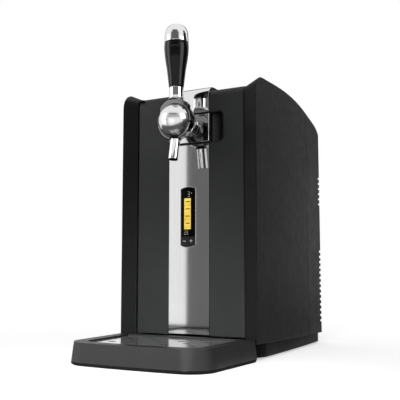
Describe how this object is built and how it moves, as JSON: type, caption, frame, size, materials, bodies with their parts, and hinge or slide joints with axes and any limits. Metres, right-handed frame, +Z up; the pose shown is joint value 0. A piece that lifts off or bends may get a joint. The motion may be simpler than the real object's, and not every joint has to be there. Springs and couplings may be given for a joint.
{
  "type": "mini keg beer dispenser",
  "caption": "Cooled countertop dispenser for a small keg: hinged door with lever tap, steel strip, display and buttons, slide-off drip tray and rear fan cooling.",
  "frame": {"origin": "middle of the footprint (tray included), on the table", "axes": "+Z up, the door, tap and tray face -Y, +X to the right seen from the front"},
  "size_m": [0.262, 0.51, 0.5545],
  "materials": {
    "body_plastic": "fine moulded texture",
    "door_plastic": "fine moulded texture",
    "tray_plastic": "moulded",
    "plinth_plastic": "moulded",
    "pocket_plastic": "satin",
    "rubber": "moulded",
    "strip_steel": "fine brushed, bright",
    "grille_steel": "polished",
    "tap_chrome": "polished",
    "grip_plastic": "polished",
    "knob_plastic": "satin",
    "display_black": "polished",
    "bezel_chrome": "satin",
    "light_guide": "translucent",
    "liner_plastic": "smooth",
    "foam": "foamed",
    "sheet_steel": "zinc plated",
    "aluminium": "machined",
    "ceramic": "fired ceramic",
    "fan_plastic": "moulded",
    "board_green": "solder mask",
    "screw_steel": "zinc plated",
    "hose_clear": "silicone",
    "magnet": "sintered"
  },
  "bodies": {
    "cabinet": {"air_hose": "hose_clear", "air_pump": "sheet_steel", "base_plinth": "plinth_plastic", "chamber_liner": "liner_plastic", "cold_plate": "aluminium", "control_board": "board_green", "coupler_seal": "rubber", "fan_frame": "fan_plastic", "fan_screws": "screw_steel", "heat_sink": "aluminium", "hinge_pins": "screw_steel", "insulation_foam": "foam", "keg_coupler": "liner_plastic", "keg_pads": "rubber", "left_side_panel": "body_plastic", "lower_hinge_bracket": "sheet_steel", "mains_inlet": "plinth_plastic", "peltier_module": "ceramic", "power_supply": "sheet_steel", "rear_cover": "body_plastic", "right_side_panel": "body_plastic", "rubber_feet": "rubber", "strike_plates": "sheet_steel", "temperature_probe": "sheet_steel", "top_cover": "body_plastic", "upper_hinge_bracket": "sheet_steel"},
    "front_door": {"door_panel_left": "door_plastic", "door_panel_right": "door_plastic", "door_core": "plinth_plastic", "door_liner": "liner_plastic", "door_magnets": "magnet", "door_gasket": "rubber", "finger_pocket": "pocket_plastic", "strip_lower": "strip_steel", "strip_upper": "strip_steel", "tap_plate": "tap_chrome", "display_bezel": "bezel_chrome", "display_window": "display_black", "display_board": "board_green", "level_segments": "light_guide", "tap_shank": "sheet_steel", "shank_nut": "screw_steel", "tap_ball": "tap_chrome", "tap_cup": "tap_chrome", "spout": "tap_chrome", "spout_seal": "rubber", "pivot_pin": "screw_steel"},
    "tap_lever": {"lever_yoke": "tap_chrome", "lever_neck": "tap_chrome", "lever_grip": "grip_plastic", "grip_cap": "tap_chrome", "lever_lock_knob": "knob_plastic", "pinch_cam": "screw_steel"},
    "minus_key": {"minus_button": "display_black"},
    "plus_key": {"plus_button": "display_black"},
    "tray": {"drip_tray": "tray_plastic"},
    "grille": {"drip_grille": "grille_steel"},
    "fan": {"fan_rotor": "fan_plastic"}
  },
  "joints": [
    {"name": "door_hinge", "type": "hinge", "parent": "cabinet", "child": "front_door", "pos_m": [-0.0996, -0.069, 0.2], "axis": [0, 0, -1], "range_deg": [0, 95]},
    {"name": "lever_pivot", "type": "hinge", "parent": "front_door", "child": "tap_lever", "pos_m": [0, -0.1187, 0.3887], "axis": [1, 0, 0], "range_deg": [0, 40]},
    {"name": "minus_press", "type": "slide", "parent": "front_door", "child": "minus_key", "axis": [0, 1, 0], "range_m": [0, 0.0008], "stiffness_N_per_m": 400},
    {"name": "plus_press", "type": "slide", "parent": "front_door", "child": "plus_key", "axis": [0, 1, 0], "range_m": [0, 0.0008], "stiffness_N_per_m": 400},
    {"name": "tray_slide", "type": "slide", "parent": "cabinet", "child": "tray", "axis": [0, -1, 0], "range_m": [0, 0.18]},
    {"name": "grille_lift", "type": "slide", "parent": "tray", "child": "grille", "axis": [0, 0, 1], "range_m": [0, 0.025]},
    {"name": "fan_spin", "type": "hinge", "parent": "cabinet", "child": "fan", "pos_m": [0, 0.215, 0.27], "axis": [0, 1, 0], "continuous": true}
  ]
}
